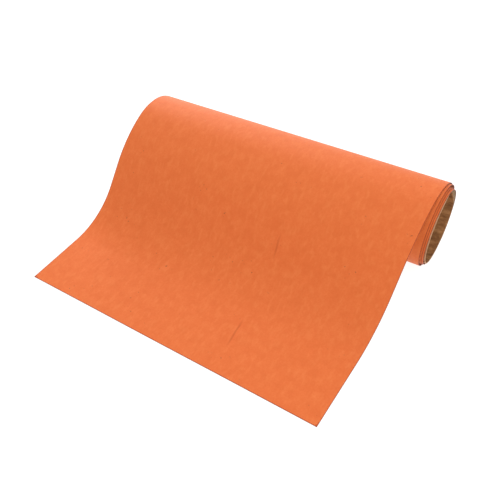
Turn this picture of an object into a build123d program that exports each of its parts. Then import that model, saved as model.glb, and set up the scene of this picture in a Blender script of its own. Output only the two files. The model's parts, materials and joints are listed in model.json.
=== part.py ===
from build123d import *
from math import cos, degrees, pi, radians, sin
import os

# A sheet of orange grip tape wound on a thin paper core, with its outer end let down in front.
# Millimetres.  X runs along the roll's axis, the loose lead leaves towards -Y, +Z is up.
# The origin is the middle of the core's bore.  The sheet is four layers: grit coat, film,
# adhesive and release liner.  Depths are measured inwards from the grit surface.

# ---- driving dimensions ----
sheet_width = 229.0             # nine inches
sheet_length = 762.0            # thirty inches, measured along the middle of the sheet
core_bore_radius = 25.4         # two-inch core
core_ply = 0.3                  # the core is two spiral plies of board
roll_radius = 29.0              # grit surface of the outermost turn, which rests on the floor

grit_coat = 0.16
backing_film = 0.08
adhesive = 0.05
release_liner = 0.13
sheet_thickness = grit_coat + backing_film + adhesive + release_liner

lead_wrap_pitch = 0.85          # the outer turns are slack: each stands this far inside the last
wound_radius = 27.3             # grit surface where the inner turns begin, clear of the outer ones
wound_pitch = 0.5
wrap_half_turns = 3             # the outer turns, which are one piece with the loose lead
lead_x = -4.8                   # middle of the sheet's width where it leaves the roll
first_drift = 1.7               # the turns telescope: the second half turn steps this far along +X
half_turn_drift = 0.55          # and each one after it steps this much further

# ---- the lead: off the top of the roll, down a slope and out flat on the floor ----
take_off = 2.0                  # straight stretch at the top
crown_radius = 39.7             # first bend down
crown_angle = 22.5
shoulder_radius = 98.6          # second, slacker bend down
slope_angle = 45.7              # steepest angle below level
foot_radius = 62.9              # bend back to level
flat_length = 47.0              # length that lies on the floor
lead_skew = 0.031               # sideways drift towards -X for each millimetre forwards
free_edge_step = 3.1            # the free end's +X corner is this far forward of its middle

core_outer_radius = core_bore_radius + 2 * core_ply
tape_width = 200.0
tape_angle = 40.0               # arc of double-sided tape at the sheet's inner end

# ---- worked out from the above ----
slope_drop = (
    2 * roll_radius
    - sheet_thickness
    - crown_radius * (1 - cos(radians(crown_angle)))
    - shoulder_radius * (cos(radians(crown_angle)) - cos(radians(slope_angle)))
    - foot_radius * (1 - cos(radians(slope_angle)))
)
slope_length = slope_drop / sin(radians(slope_angle))
middle = sheet_thickness / 2
lead_length = (
    take_off
    + (crown_radius - middle) * radians(crown_angle)
    + (shoulder_radius - middle) * radians(slope_angle - crown_angle)
    + slope_length
    + (foot_radius + middle) * radians(slope_angle)
    + flat_length
)
lead_reach = (
    take_off
    + crown_radius * sin(radians(crown_angle))
    + shoulder_radius * (sin(radians(slope_angle)) - sin(radians(crown_angle)))
    + slope_length * cos(radians(slope_angle))
    + foot_radius * sin(radians(slope_angle))
    + flat_length
)


def half_turn_pitch(count):
    """Half turns are counted inwards from the take-off, the outer ones and then the inner ones."""
    return lead_wrap_pitch if count < wrap_half_turns else wound_pitch


def half_turn_radius(count):
    """Grit radius of one half turn."""
    if count < wrap_half_turns:
        return roll_radius - count * lead_wrap_pitch / 2
    return wound_radius - (count - wrap_half_turns) * wound_pitch / 2


def half_turn_centre(count):
    """Height of its centre: half turns from the top are on the axis, the others just below."""
    return -half_turn_pitch(count) / 2 * (count % 2)


def half_turn_x(count):
    """Where its near end face starts."""
    drift = first_drift + half_turn_drift * (count - 1) if count else 0
    return lead_x + drift - sheet_width / 2


# The inner half turns: the rest of the sheet fills them, the last one only in part.
wound_length = sheet_length - lead_length
for count in range(wrap_half_turns):
    wound_length -= pi * (half_turn_radius(count) - middle)
wound_sweeps = []
while wound_length > 0:
    mid_radius = half_turn_radius(wrap_half_turns + len(wound_sweeps)) - middle
    sweep = min(pi, wound_length / mid_radius)
    wound_sweeps.append(degrees(sweep))
    wound_length -= sweep * mid_radius


def half_turn(count, sweep, near, far):
    """Outline of one layer over one half turn, clockwise from the top or from the bottom."""
    side = 1 - 2 * (count % 2)
    radius = half_turn_radius(count)
    centre = half_turn_centre(count)
    outer = JernArc((0, centre + side * (radius - near)), (side, 0), radius - near, -sweep)
    inner = JernArc((0, centre + side * (radius - far)), (side, 0), radius - far, -sweep)
    Line(outer @ 0, inner @ 0)
    Line(outer @ 1, inner @ 1)


def lead_line(depth):
    """The lead's side outline at one depth, from the top of the roll to the free end."""
    top = Line((0, roll_radius - depth), (-take_off, roll_radius - depth))
    crown = JernArc(top @ 1, (-1, 0), crown_radius - depth, crown_angle)
    shoulder = JernArc(crown @ 1, crown % 1, shoulder_radius - depth, slope_angle - crown_angle)
    slope = Line(shoulder @ 1, (shoulder @ 1) + (shoulder % 1) * slope_length)
    foot = JernArc(slope @ 1, slope % 1, foot_radius + depth, -slope_angle)
    flat = Line(foot @ 1, (foot @ 1) - Vector(flat_length + 2 * free_edge_step, 0))
    return top @ 0, flat @ 1


def lead_layer(name, near, far):
    """One layer of the loose lead and of the outer turns, which are one piece."""
    with BuildPart() as layer:
        # the free run, wide enough to cut square to its own skewed sides
        with BuildSketch(Plane.YZ.offset(lead_x - sheet_width)):
            with BuildLine():
                upper = lead_line(near)
                lower = lead_line(far)
                Line(upper[0], lower[0])
                Line(upper[1], lower[1])
            make_face()
        extrude(amount=2 * sheet_width)
        with BuildSketch(Plane.XY.offset(-2 * roll_radius)):
            with BuildLine():
                right = lead_x + sheet_width / 2
                left = lead_x - sheet_width / 2
                shift = lead_skew * lead_reach
                Polyline(
                    (right, 0),
                    (right - shift, -lead_reach - free_edge_step),
                    (left - shift, -lead_reach + free_edge_step),
                    (left, 0),
                    close=True,
                )
            make_face()
        extrude(amount=4 * roll_radius, mode=Mode.INTERSECT)
        # the outer turns, back round under the take-off and on to the bottom of the roll
        for count in range(wrap_half_turns):
            with BuildSketch(Plane.YZ.offset(half_turn_x(count))):
                with BuildLine():
                    half_turn(count, 180, near, far)
                make_face()
            extrude(amount=sheet_width)
    layer.part.label = name
    export_step(layer.part, f"parts/{name}.step")


def wound_layer(name, near, far):
    """One layer of the inner turns, down to the end that is taped to the core."""
    with BuildPart() as layer:
        for count, sweep in enumerate(wound_sweeps, start=wrap_half_turns):
            with BuildSketch(Plane.YZ.offset(half_turn_x(count))):
                with BuildLine():
                    half_turn(count, sweep, near, far)
                make_face()
            extrude(amount=sheet_width)
    layer.part.label = name
    export_step(layer.part, f"parts/{name}.step")


def core_tube(name, inner_radius, outer_radius):
    """One ply of the core, a tube as long as the sheet is wide."""
    with BuildPart() as tube:
        with BuildSketch(Plane.YZ.offset(-sheet_width / 2)):
            Circle(outer_radius)
            Circle(inner_radius, mode=Mode.SUBTRACT)
        extrude(amount=sheet_width)
    tube.part.label = name
    export_step(tube.part, f"parts/{name}.step")


os.makedirs("parts", exist_ok=True)

# ---- the sheet's layers, grit outwards ----
depth = 0.0
for layer_name, thickness in (
    ("grit_coat", grit_coat),
    ("backing_film", backing_film),
    ("adhesive", adhesive),
    ("release_liner", release_liner),
):
    lead_layer("lead_" + layer_name, depth, depth + thickness)
    wound_layer("wound_" + layer_name, depth, depth + thickness)
    depth += thickness

# ---- the core ----
core_tube("core_inner_ply", core_bore_radius, core_bore_radius + core_ply)
core_tube("core_outer_ply", core_bore_radius + core_ply, core_outer_radius)

# ---- the starter tape, which fills the space between the core and the sheet's inner end ----
last = wrap_half_turns + len(wound_sweeps) - 1
last_side = 1 - 2 * (last % 2)
tape_end = radians(wound_sweeps[-1])
tape_start = tape_end - radians(tape_angle)
wedge_reach = 2 * roll_radius
with BuildPart() as starter_tape:
    with BuildSketch(Plane.YZ.offset(-tape_width / 2)):
        with Locations((0, half_turn_centre(last))):
            Circle(half_turn_radius(last) - sheet_thickness)
        Circle(core_outer_radius, mode=Mode.SUBTRACT)
        with BuildLine():
            Polyline(
                (0, 0),
                (last_side * wedge_reach * sin(tape_start), last_side * wedge_reach * cos(tape_start)),
                (last_side * wedge_reach * sin(tape_end), last_side * wedge_reach * cos(tape_end)),
                close=True,
            )
        make_face(mode=Mode.INTERSECT)
    extrude(amount=tape_width)
starter_tape.part.label = "starter_tape"
export_step(starter_tape.part, "parts/starter_tape.step")

print(f"lead {lead_length:.1f} mm, reach {lead_reach:.1f} mm, slope {slope_length:.1f} mm")
print(f"inner half turns {len(wound_sweeps)}, the last through {wound_sweeps[-1]:.1f} degrees")
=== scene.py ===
import json
import math

import bmesh
import bpy
from mathutils import Matrix, Vector


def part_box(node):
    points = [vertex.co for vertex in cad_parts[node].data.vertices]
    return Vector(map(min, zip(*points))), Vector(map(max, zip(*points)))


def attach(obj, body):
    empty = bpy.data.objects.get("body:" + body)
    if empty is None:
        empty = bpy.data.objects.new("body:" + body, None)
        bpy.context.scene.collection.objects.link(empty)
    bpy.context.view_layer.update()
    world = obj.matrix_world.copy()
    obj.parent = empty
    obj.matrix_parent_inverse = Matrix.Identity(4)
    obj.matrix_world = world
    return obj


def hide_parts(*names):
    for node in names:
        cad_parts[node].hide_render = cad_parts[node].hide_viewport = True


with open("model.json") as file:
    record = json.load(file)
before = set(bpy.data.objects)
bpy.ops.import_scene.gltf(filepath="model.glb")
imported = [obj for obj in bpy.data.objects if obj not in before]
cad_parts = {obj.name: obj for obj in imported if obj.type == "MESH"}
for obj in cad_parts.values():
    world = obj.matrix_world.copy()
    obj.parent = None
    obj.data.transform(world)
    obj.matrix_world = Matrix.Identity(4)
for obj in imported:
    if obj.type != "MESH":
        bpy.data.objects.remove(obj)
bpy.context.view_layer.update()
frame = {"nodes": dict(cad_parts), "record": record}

# Metres and the frame's axes: X along the roll, the loose lead towards -Y, +Z up.
# The origin is the middle of the core's bore.  Depths run inwards from the grit surface.
MM = 0.001

# ---- sizes read from the frame ----
core_low, core_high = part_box("core_inner_ply")
sheet_width = core_high.x - core_low.x
half_width = sheet_width / 2
roll_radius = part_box("lead_grit_coat")[1].z
bore_radius = frame["record"]["mounts"][0]["dims"]["r_mm"] * MM
inner_ply_radius = core_high.z
outer_ply_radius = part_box("core_outer_ply")[1].z

# ---- the sheet's layers, grit outwards ----
layers = (
    ("grit_coat", 0.16 * MM),
    ("backing_film", 0.08 * MM),
    ("adhesive", 0.05 * MM),
    ("release_liner", 0.13 * MM),
)
sheet_thickness = sum(thickness for _, thickness in layers)

# ---- how it is wound: angles are counted from the take-off at the top, going in ----
lead_wrap_pitch = 0.85 * MM     # the outer turns are slack
wrap_angle = 3 * math.pi        # the outer turns, one piece with the lead, end under the roll
wound_radius = 27.3 * MM        # grit surface where the inner turns begin
wound_pitch = 0.5 * MM
wound_angle = math.radians(688.7)
steps_per_turn = 120
lead_x = -4.8 * MM              # middle of the sheet's width where it leaves the roll
first_drift = 0.9 * MM          # sideways step just behind the take-off
first_drift_angle = math.radians(30)
turn_drift = 1.15 * MM          # and sideways over each whole turn

# ---- the knock that the roll's +X end has had, high up at the back ----
crush_angle = math.radians(50)
crush_width = math.radians(32)
turn_push = 0.3 * MM            # the turns' edges are pushed out by this much
core_crush = 2.8 * MM           # the core's end stands back by this much
end_dent = 1.3 * MM             # core and inner turns are bent in towards the axis by this much
crush_reach = 9 * MM            # fading out over about this much of the roll's length

# ---- the lead ----
take_off = 2.0 * MM
crown_radius = 39.7 * MM
crown_angle = math.radians(22.5)
shoulder_radius = 98.6 * MM
slope_angle = math.radians(45.7)
foot_radius = 62.9 * MM
flat_length = 47.0 * MM
lead_skew = 0.031               # sideways drift for each unit forwards
free_edge_step = 3.1 * MM       # the free end's +X corner is this far forward of its middle

# ---- the loose lead isn't quite true: it lifts a little, in two sets of slanting waves ----
ripple_height = 0.25 * MM
ripple_start = 25 * MM          # none closer to the roll's axis than this
ripple_rise = 60 * MM           # and full height this much further out
ripple_waves = (                # strength, radians across half the width, phase, length out
    (1.0, 4.1, 0.6, -34 * MM),
    (0.6, 7.3, -1.1, 23 * MM),
)

# ---- places across the sheet where its mesh is divided ----
edge_places = (0.0, 0.25 * MM, 0.6 * MM, 1.2 * MM, 3 * MM, 8 * MM)
inner_share = 0.8
inner_columns = 14

# ---- the core's plies, each a strip of board wound as a helix ----
strip_width = 62 * MM
strip_gap = 0.35 * MM           # between one wrap of the strip and the next
strip_columns = 12              # across the strip
helix_steps = 144               # for each wrap

# ---- one faint scratch along the lead, in two stretches between values of y ----
scratch_x = 20.0 * MM           # where its line would cross y = 0
scratch_lean = -0.067
scratch_wander = 1.5 * MM
scratch_stretches = ((-68 * MM, -54 * MM), (-136 * MM, -112 * MM))
scratch_fade = 6 * MM


# ---------------------------------------------------------------- the sheet's run

def spiral_radius(angle, start_radius, pitch):
    """Even half turns keep their radius, odd ones close in, so the roll rests on the floor."""
    turn = int(angle // math.tau)
    rest = angle - turn * math.tau
    radius = start_radius - turn * pitch
    if rest > math.pi:
        radius -= pitch / 2 * (1 + math.cos(rest))
    return radius


def crush(angle):
    """How hard the roll's +X end is knocked at an angle round it, 1 at its upper back."""
    off = (angle - crush_angle + math.pi) % math.tau - math.pi
    return math.exp(-(off / crush_width) ** 2)


def dent(angle, x):
    """How far the roll is bent in at an angle round it and a place along it."""
    return end_dent * crush(angle) * math.exp((x - core_high.x) / crush_reach)


def ripple(y, place):
    """Lift of the loose lead at a distance out and a place from -1 to 1 across it."""
    out = max(0.0, (-y - ripple_start) / ripple_rise)
    fade = min(1.0, out) ** 2
    swell = sum(
        strength * math.sin(place * across + phase + y / length)
        for strength, across, phase, length in ripple_waves
    )
    return ripple_height * fade * (0.5 + 0.3 * swell)


def turn_shift(angle):
    """Sideways place of the sheet at an angle counted from the take-off."""
    step = first_drift * (1 - math.exp(-angle / first_drift_angle))
    push = turn_push * crush(angle) if angle > math.pi else 0.0
    return lead_x + step + turn_drift * angle / math.tau + push


class Run:
    """The sheet's side view as stations: y, z, the normal's y and z, sideways shift and shear."""

    def __init__(self):
        self.stations = []
        self.length = 0.0

    def add(self, y, z, normal, shift, shear=0.0):
        if self.stations:
            last = self.stations[-1]
            self.length += math.hypot(y - last[0], z - last[1])
        self.stations.append((y, z, normal[0], normal[1], shift, shear))

    def coil(self, start_radius, pitch, first, last):
        """Turns from one angle to another, both counted from the take-off."""
        steps = max(1, round(abs(last - first) / math.tau * steps_per_turn))
        for step in range(steps + 1):
            angle = first + (last - first) * step / steps
            radius = spiral_radius(angle, start_radius, pitch)
            across, up = math.sin(angle), math.cos(angle)
            self.add(radius * across, radius * up, (across, up), turn_shift(angle))

    def straight(self, heading, length, steps, end_shear=0.0):
        """A straight stretch at an angle below level."""
        y0, z0 = self.stations[-1][:2]
        for step in range(1, steps + 1):
            share = step / steps
            y = y0 - math.cos(heading) * length * share
            z = z0 - math.sin(heading) * length * share
            normal = (-math.sin(heading), math.cos(heading))
            self.add(y, z, normal, self.skewed(y), end_shear * share)

    def bend(self, heading, radius, turn, steps):
        """An arc from one heading, the angle below level, through turn: down if positive."""
        y0, z0 = self.stations[-1][:2]
        side = math.copysign(1, turn)
        for step in range(1, steps + 1):
            angle = heading + turn * step / steps
            y = y0 - side * radius * (math.sin(angle) - math.sin(heading))
            z = z0 + side * radius * (math.cos(angle) - math.cos(heading))
            self.add(y, z, (-math.sin(angle), math.cos(angle)), self.skewed(y))
        return heading + turn

    def skewed(self, y):
        return lead_x + lead_skew * y


def lead_run():
    """From the outer turns' end under the roll, round it, then down to the free end."""
    wrap = Run()
    wrap.coil(roll_radius, lead_wrap_pitch, 0.0, wrap_angle)
    run = Run()
    for station in reversed(wrap.stations):
        run.add(*station[:2], station[2:4], station[4])
    drop = (
        2 * roll_radius
        - sheet_thickness
        - crown_radius * (1 - math.cos(crown_angle))
        - shoulder_radius * (math.cos(crown_angle) - math.cos(slope_angle))
        - foot_radius * (1 - math.cos(slope_angle))
    )
    run.straight(0.0, take_off, steps=2)
    heading = run.bend(0.0, crown_radius, crown_angle, steps=16)
    heading = run.bend(heading, shoulder_radius, slope_angle - heading, steps=16)
    run.straight(heading, drop / math.sin(heading), steps=6)
    run.bend(heading, foot_radius, -heading, steps=30)
    run.straight(0.0, flat_length, steps=14, end_shear=free_edge_step)
    return run


def wound_run():
    """The inner turns, from under the roll to the end that is taped to the core."""
    run = Run()
    # the spiral that has the inner turns' radius where they begin, carried back to the take-off
    start_radius = wound_radius + wound_pitch / 2 + wound_pitch * (wrap_angle // math.tau)
    run.coil(start_radius, wound_pitch, wrap_angle, wrap_angle + wound_angle)
    return run


def columns():
    """Places across the sheet from -1 to 1, close together near the two cut edges."""
    edge = [-1 + distance / half_width for distance in edge_places]
    step = 2 * inner_share / inner_columns
    middle = [-inner_share + step * column for column in range(inner_columns + 1)]
    return edge + middle + [-place for place in reversed(edge)]


def sheet_layer(name, run, near, far, bent_in):
    """A thin closed solid between two depths of the sheet, with the distance to the cut edge."""
    mesh = bpy.data.meshes.new(name)
    places = columns()
    count = len(places)
    vertices, edge_distance = [], []
    for depth in (near, far):
        along = 0.0
        for index, (y, z, normal_y, normal_z, shift, shear) in enumerate(run.stations):
            if index:
                last = run.stations[index - 1]
                along += math.hypot(y - last[0], z - last[1])
            for place in places:
                x = shift + place * half_width
                rise = ripple(y, place) - depth
                if bent_in:
                    rise -= dent(math.atan2(normal_y, normal_z), x)
                vertices.append((x, y + normal_y * rise - shear * place, z + normal_z * rise))
                edge_distance.append(min((1 - abs(place)) * half_width, run.length - along, along))
    rows = len(run.stations)

    def vertex(side, row, column):
        return (side * rows + row) * count + column

    faces = []
    for row in range(rows - 1):
        for column in range(count - 1):
            corners = ((row, column), (row, column + 1), (row + 1, column + 1), (row + 1, column))
            faces.append([vertex(0, *corner) for corner in corners])
            faces.append([vertex(1, *corner) for corner in reversed(corners)])
        for column in (0, count - 1):
            faces.append([
                vertex(0, row, column), vertex(0, row + 1, column),
                vertex(1, row + 1, column), vertex(1, row, column),
            ])
    for row in (0, rows - 1):
        for column in range(count - 1):
            faces.append([
                vertex(0, row, column), vertex(0, row, column + 1),
                vertex(1, row, column + 1), vertex(1, row, column),
            ])
    mesh.from_pydata(vertices, [], faces)
    attribute = mesh.attributes.new("edge_distance", "FLOAT", "POINT")
    attribute.data.foreach_set("value", edge_distance)
    return finished(name, mesh)


def finished(name, mesh):
    """The object of a new mesh, with outward faces, smooth but for its sharp edges."""
    shape = bmesh.new()
    shape.from_mesh(mesh)
    bmesh.ops.recalc_face_normals(shape, faces=shape.faces)
    shape.to_mesh(mesh)
    shape.free()
    for polygon in mesh.polygons:
        polygon.use_smooth = True
    mesh.set_sharp_from_angle(angle=math.radians(40))
    piece = bpy.data.objects.new(name, mesh)
    bpy.context.scene.collection.objects.link(piece)
    return piece


# ---------------------------------------------------------------- the core's plies

def core_ply(name, inner, outer, phase):
    """A ply as it is made: one strip of board wound as a helix, its ends cut square."""
    lean = strip_width + strip_gap
    across = [column / strip_columns for column in range(strip_columns + 1)]
    profile = [(along, outer) for along in across] + [(along, inner) for along in reversed(across)]
    wraps = math.ceil(sheet_width / lean) + 2
    mesh = bpy.data.meshes.new(name)
    strip = bmesh.new()
    rows = []
    for step in range(wraps * helix_steps + 1):
        turn = step / helix_steps
        angle = math.tau * (turn + phase)
        start = core_low.x - lean + lean * (turn - 0.5)
        row = []
        for along, radius in profile:
            x = start + along * strip_width
            row.append(strip.verts.new((x, radius * math.sin(angle), radius * math.cos(angle))))
        rows.append(row)
    for first, second in zip(rows, rows[1:]):
        for corner in range(len(profile)):
            following = (corner + 1) % len(profile)
            strip.faces.new((first[corner], first[following], second[following], second[corner]))
    strip.faces.new(rows[0])
    strip.faces.new(rows[-1])
    for x, side in ((core_low.x, -1), (core_high.x, 1)):
        parts = strip.verts[:] + strip.edges[:] + strip.faces[:]
        cut = bmesh.ops.bisect_plane(
            strip, geom=parts, plane_co=(x, 0, 0), plane_no=(side, 0, 0), clear_outer=True
        )
        rim = [part for part in cut["geom_cut"] if isinstance(part, bmesh.types.BMEdge)]
        bmesh.ops.contextual_create(strip, geom=rim)
    for corner in strip.verts:
        knock = dent(math.atan2(corner.co.y, corner.co.z), corner.co.x)
        squeeze = 1 - knock / math.hypot(corner.co.y, corner.co.z)
        corner.co.x -= core_crush * knock / end_dent
        corner.co.y *= squeeze
        corner.co.z *= squeeze
    strip.to_mesh(mesh)
    strip.free()
    return finished(name, mesh)


# ---------------------------------------------------------------- materials

def linear(red, green, blue):
    """A display colour, 0 to 255, as the linear colour that shaders take."""
    def channel(value):
        value /= 255
        return value / 12.92 if value <= 0.04045 else ((value + 0.055) / 1.055) ** 2.4
    return (channel(red), channel(green), channel(blue), 1.0)


class Nodes:
    """A small helper that adds nodes to a material and links them."""

    def __init__(self, name):
        self.material = bpy.data.materials.new(name)
        self.material.use_nodes = True
        self.tree = self.material.node_tree
        self.shader = self.tree.nodes["Principled BSDF"]
        self.place = self.add("ShaderNodeTexCoord").outputs["Object"]

    def add(self, kind, **settings):
        node = self.tree.nodes.new(kind)
        for key, value in settings.items():
            setattr(node, key, value)
        return node

    def link(self, source, target):
        self.tree.links.new(source, target)

    def feed(self, target, value):
        """Links a socket to an input, or sets the input to a plain value."""
        if isinstance(value, bpy.types.NodeSocket):
            self.link(value, target)
        else:
            target.default_value = value

    def noise(self, feature, detail=2.0, roughness=0.5, stretch=(1, 1, 1), offset=0.0):
        """Noise whose features are about the given size in metres."""
        mapping = self.add("ShaderNodeMapping")
        mapping.inputs["Scale"].default_value = stretch
        mapping.inputs["Location"].default_value = (offset, offset, offset)
        self.link(self.place, mapping.inputs["Vector"])
        texture = self.add("ShaderNodeTexNoise")
        texture.inputs["Scale"].default_value = 1 / feature
        texture.inputs["Detail"].default_value = detail
        texture.inputs["Roughness"].default_value = roughness
        self.link(mapping.outputs["Vector"], texture.inputs["Vector"])
        return texture.outputs["Fac"]

    def ramp(self, value, *stops):
        """A colour ramp through (position, colour) stops."""
        ramp = self.add("ShaderNodeValToRGB")
        elements = ramp.color_ramp.elements
        while len(elements) < len(stops):
            elements.new(0.5)
        for element, (position, colour) in zip(elements, stops):
            element.position = position
            element.color = colour
        self.link(value, ramp.inputs["Fac"])
        return ramp.outputs["Color"]

    def mix(self, factor, first, second):
        """Mixes two colours or sockets."""
        mix = self.add("ShaderNodeMix", data_type="RGBA")
        self.feed(mix.inputs[0], factor)
        self.feed(mix.inputs[6], first)
        self.feed(mix.inputs[7], second)
        return mix.outputs[2]

    def range(self, value, low, high, to_low=0.0, to_high=1.0):
        """Maps low..high to to_low..to_high, held at both ends."""
        node = self.add("ShaderNodeMapRange")
        self.link(value, node.inputs["Value"])
        node.inputs["From Min"].default_value = low
        node.inputs["From Max"].default_value = high
        node.inputs["To Min"].default_value = to_low
        node.inputs["To Max"].default_value = to_high
        return node.outputs["Result"]

    def maths(self, operation, *values):
        """One sum on numbers or sockets."""
        node = self.add("ShaderNodeMath", operation=operation)
        for target, value in zip(node.inputs, values):
            self.feed(target, value)
        return node.outputs[0]

    def split(self):
        """The place's x, y and z sockets."""
        node = self.add("ShaderNodeSeparateXYZ")
        self.link(self.place, node.inputs["Vector"])
        return node.outputs

    def cut_edge_and_gap_shade(self, colour, width, dark):
        """Darkens a layer of the sheet close to where it was cut: partly the cut edge's own darker
        colour, partly painted shade of the gaps between the turns.
        """
        edge = self.add("ShaderNodeAttribute", attribute_name="edge_distance").outputs["Fac"]
        return self.mix(self.range(edge, 0.0, width, 0.85, 0.0), colour, dark)

    def finish(self, colour, roughness, height=None, depth=0.0, specular=0.5):
        self.link(colour, self.shader.inputs["Base Color"])
        self.feed(self.shader.inputs["Roughness"], roughness)
        self.shader.inputs["Specular IOR Level"].default_value = specular
        if height is not None:
            bump = self.add("ShaderNodeBump")
            bump.inputs["Distance"].default_value = depth
            self.link(height, bump.inputs["Height"])
            self.link(bump.outputs["Normal"], self.shader.inputs["Normal"])
        return self.material


def scratch(nodes):
    """A mask for one faint broken scratch, which runs along the loose lead."""
    x, y, _ = nodes.split()
    line = nodes.maths("MULTIPLY_ADD", y, scratch_lean, scratch_x)
    noise = nodes.noise(20 * MM, offset=4.0)
    wander = nodes.range(noise, 0.0, 1.0, -scratch_wander, scratch_wander)
    off = nodes.maths("SUBTRACT", x, nodes.maths("ADD", line, wander))
    mask = nodes.range(nodes.maths("ABSOLUTE", off), 0.2 * MM, 1.0 * MM, 0.55, 0.0)
    stretches = []
    for low, high in scratch_stretches:
        start = nodes.range(y, low, low + scratch_fade)
        end = nodes.range(y, high - scratch_fade, high, 1.0, 0.0)
        stretches.append(nodes.maths("MULTIPLY", start, end))
    return nodes.maths("MULTIPLY", mask, nodes.maths("ADD", *stretches))


def grit_material():
    """Fine mineral grit in orange resin: matte, faintly mottled, with a few dark grains."""
    nodes = Nodes("orange_grit")
    mottle = nodes.noise(7 * MM, detail=3.0, roughness=0.6)
    colour = nodes.ramp(
        mottle,
        (0.30, linear(219, 108, 50)),
        (0.50, linear(223, 112, 54)),
        (0.70, linear(226, 116, 58)),
    )
    fine = nodes.noise(1.3 * MM, detail=2.0, roughness=0.6)
    colour = nodes.mix(nodes.range(fine, 0.3, 0.7, 0.0, 0.5), colour, linear(217, 99, 43))
    flecks = nodes.noise(2.6 * MM, detail=2.0, stretch=(1, 0.45, 0.45), offset=7.0)
    colour = nodes.mix(nodes.range(flecks, 0.5, 0.74, 0.0, 0.45), colour, linear(229, 125, 66))
    specks = nodes.range(nodes.noise(1.6 * MM, detail=0.0, offset=3.0), 0.78, 0.84, 0.0, 0.7)
    patches = nodes.range(nodes.noise(15 * MM, detail=0.0, offset=9.0), 0.6, 0.66)
    dark_grains = nodes.maths("MULTIPLY", specks, patches)
    colour = nodes.mix(dark_grains, colour, linear(150, 76, 44))
    colour = nodes.mix(scratch(nodes), colour, linear(190, 80, 30))
    # dark orange band at the cut edges: partly the edge's own darker line, partly painted shade of
    # the gaps between the turns
    colour = nodes.cut_edge_and_gap_shade(colour, 0.55 * MM, linear(146, 46, 10))
    grain = nodes.noise(0.45 * MM, detail=3.0, roughness=0.7)
    nodes.shader.inputs["Sheen Weight"].default_value = 0.15
    nodes.shader.inputs["Sheen Roughness"].default_value = 0.4
    nodes.shader.inputs["Sheen Tint"].default_value = (1.0, 0.92, 0.84, 1.0)
    roughness = nodes.range(grain, 0.3, 0.7, 0.62, 0.78)
    return nodes.finish(colour, roughness, grain, 0.05 * MM, specular=0.25)


def film_material():
    """The orange-brown backing film, seen only at the cut edges."""
    nodes = Nodes("backing_film")
    colour = nodes.ramp(
        nodes.noise(2 * MM), (0.3, linear(118, 38, 10)), (0.7, linear(138, 48, 14))
    )
    return nodes.finish(colour, 0.5, specular=0.1)


def adhesive_material():
    """Pressure-sensitive adhesive: tacky and streaked, darker at the cut edges, partly its own edge
    colour and partly painted shade of the gaps between the turns.
    """
    nodes = Nodes("adhesive")
    strings = nodes.noise(0.6 * MM, detail=3.0, stretch=(0.3, 1, 1))
    colour = nodes.ramp(strings, (0.3, linear(112, 86, 62)), (0.7, linear(150, 118, 88)))
    # dark cut edges: partly the edge's own colour, partly painted shade of the gaps between the
    # turns
    colour = nodes.cut_edge_and_gap_shade(colour, 0.8 * MM, linear(98, 32, 8))
    return nodes.finish(colour, 0.35, strings, 0.05 * MM, specular=0.2)


def liner_material():
    """Release paper: tan, faintly fibrous, with a dull silicone sheen."""
    nodes = Nodes("release_liner")
    fibres = nodes.noise(1.2 * MM, detail=4.0, stretch=(0.25, 1, 1))
    clouds = nodes.noise(12 * MM, detail=2.0, offset=5.0)
    colour = nodes.ramp(fibres, (0.3, linear(176, 150, 118)), (0.7, linear(200, 176, 144)))
    colour = nodes.mix(nodes.range(clouds, 0.35, 0.65, 0.0, 0.3), colour, linear(168, 140, 106))
    # darkened cut edges: painted shade of the gaps between the turns, laid over the liner's own tan
    colour = nodes.cut_edge_and_gap_shade(colour, 0.6 * MM, linear(112, 38, 10))
    return nodes.finish(colour, 0.45, fibres, 0.04 * MM, specular=0.25)


def board_material(name, dark, plain, pale):
    """Core board: kraft fibres, darker and paler patches, and a paler fresh-cut end."""
    nodes = Nodes(name)
    fibres = nodes.noise(1.1 * MM, detail=4.0, roughness=0.65, stretch=(0.4, 1, 1))
    patches = nodes.noise(5 * MM, detail=3.0, roughness=0.6, stretch=(0.5, 1, 1), offset=2.0)
    colour = nodes.ramp(patches, (0.36, dark), (0.5, plain), (0.64, pale))
    colour = nodes.mix(nodes.range(fibres, 0.35, 0.65, 0.0, 0.5), colour, dark)
    from_middle = nodes.maths("ABSOLUTE", nodes.split()[0])
    cut = nodes.range(from_middle, half_width - 0.25 * MM, half_width - 0.05 * MM, 0.0, 0.8)
    colour = nodes.mix(cut, colour, linear(214, 168, 130))
    return nodes.finish(colour, 0.85, fibres, 0.1 * MM, specular=0.3)


def inner_board_material():
    return board_material(
        "inner_board", linear(128, 84, 48), linear(168, 116, 70), linear(196, 142, 92)
    )


def outer_board_material():
    return board_material(
        "outer_board", linear(182, 128, 92), linear(200, 146, 108), linear(210, 160, 122)
    )


def tape_material():
    """Double-sided tape: a cream tissue with a faint weave."""
    nodes = Nodes("starter_tape")
    weave = nodes.noise(0.8 * MM, detail=3.0)
    colour = nodes.ramp(weave, (0.3, linear(214, 205, 180)), (0.7, linear(232, 226, 206)))
    return nodes.finish(colour, 0.35, weave, 0.03 * MM)


def give(piece, material):
    piece.data.materials.clear()
    piece.data.materials.append(material)


# ---------------------------------------------------------------- camera, light and floor

def direction(azimuth, elevation):
    """A unit vector, its azimuth in radians anticlockwise from +X."""
    return Vector((
        math.cos(azimuth) * math.cos(elevation),
        math.sin(azimuth) * math.cos(elevation),
        math.sin(elevation),
    ))


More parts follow.
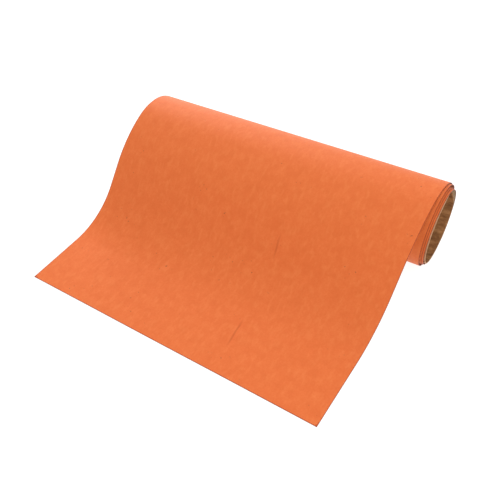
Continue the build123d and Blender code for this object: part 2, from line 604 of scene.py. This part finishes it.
def camera():
    """Above the part and to the right of the lead, looking down at the slope."""
    azimuth = math.radians(-90 + 35.315)
    elevation = math.radians(50.291)
    tilt = math.radians(-4.915)
    distance = 15.342 * roll_radius
    target = Vector((0.411 * roll_radius + lead_x, -2.763 * roll_radius, -1.984 * roll_radius))
    back = direction(azimuth, elevation)
    right = (-back).cross(Vector((0, 0, 1))).normalized()
    up = back.cross(right)
    across = right * math.cos(tilt) + up * math.sin(tilt)
    upward = up * math.cos(tilt) - right * math.sin(tilt)
    data = bpy.data.cameras.new("camera")
    data.sensor_width = 36
    data.lens = 43.64
    data.shift_x = 0.0098
    data.shift_y = 0.1062
    data.clip_start = 0.01
    made = bpy.data.objects.new("camera", data)
    bpy.context.scene.collection.objects.link(made)
    turn = Matrix((across, upward, back)).transposed()
    made.matrix_world = Matrix.Translation(target + back * distance) @ turn.to_4x4()
    bpy.context.scene.camera = made


def softbox(name, azimuth, elevation, power):
    """A round soft light a metre from the part, its azimuth anticlockwise from +X."""
    aim = Vector((0, -0.05, 0))
    outwards = direction(math.radians(azimuth), math.radians(elevation))
    data = bpy.data.lights.new(name, "AREA")
    data.shape = "DISK"
    data.size = 0.6
    data.energy = power
    made = bpy.data.objects.new(name, data)
    made.location = aim + outwards
    made.rotation_euler = (-outwards).to_track_quat("-Z", "Y").to_euler()
    bpy.context.scene.collection.objects.link(made)


def studio():
    """A pale room, with the light mostly from behind left."""
    world = bpy.data.worlds.new("studio")
    world.use_nodes = True
    background = world.node_tree.nodes["Background"]
    background.inputs["Color"].default_value = (1.0, 1.0, 1.0, 1.0)
    background.inputs["Strength"].default_value = 0.7
    bpy.context.scene.world = world
    softbox("behind_left", azimuth=130, elevation=25, power=5.9)
    softbox("above", azimuth=90, elevation=88, power=1.8)
    softbox("in_front", azimuth=315, elevation=25, power=1.1)
    softbox("right", azimuth=345, elevation=45, power=1.2)
    bpy.context.scene.view_settings.view_transform = "Standard"


def floor():
    """The white table, which glows a little so that the part's shadow on it stays faint."""
    half = 12.0
    z = -roll_radius - 0.05 * MM
    corners = [(-half, -half, z), (half, -half, z), (half, half, z), (-half, half, z)]
    mesh = bpy.data.meshes.new("floor")
    mesh.from_pydata(corners, [], [(0, 1, 2, 3)])
    made = bpy.data.objects.new("floor", mesh)
    bpy.context.scene.collection.objects.link(made)
    nodes = Nodes("floor")
    nodes.shader.inputs["Emission Color"].default_value = (1.0, 1.0, 1.0, 1.0)
    nodes.shader.inputs["Emission Strength"].default_value = 0.9
    shade = nodes.ramp(nodes.noise(0.2), (0.3, (0.24, 0.24, 0.24, 1)), (0.7, (0.26, 0.26, 0.26, 1)))
    give(made, nodes.finish(shade, 0.9, specular=0.1))


# ---------------------------------------------------------------- making it all

materials = {
    "grit_coat": grit_material(),
    "backing_film": film_material(),
    "adhesive": adhesive_material(),
    "release_liner": liner_material(),
    "core_inner_ply": inner_board_material(),
    "core_outer_ply": outer_board_material(),
    "starter_tape": tape_material(),
}

camera()
studio()
floor()

for stretch, body, run, bent_in in (
    ("lead", "lead", lead_run(), False),
    ("wound", "roll", wound_run(), True),
):
    depth = 0.0
    for layer, thickness in layers:
        node = f"{stretch}_{layer}"
        piece = sheet_layer(f"{node}_sheet", run, depth, depth + thickness, bent_in)
        give(piece, materials[layer])
        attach(piece, body)
        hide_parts(node)
        depth += thickness

for node, inner, outer, phase in (
    ("core_inner_ply", bore_radius, inner_ply_radius, 0.0),
    ("core_outer_ply", inner_ply_radius, outer_ply_radius, 0.5),
):
    piece = core_ply(node.replace("_ply", "_strip"), inner, outer, phase)
    give(piece, materials[node])
    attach(piece, "roll")
    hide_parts(node)

give(frame["nodes"]["starter_tape"], materials["starter_tape"])
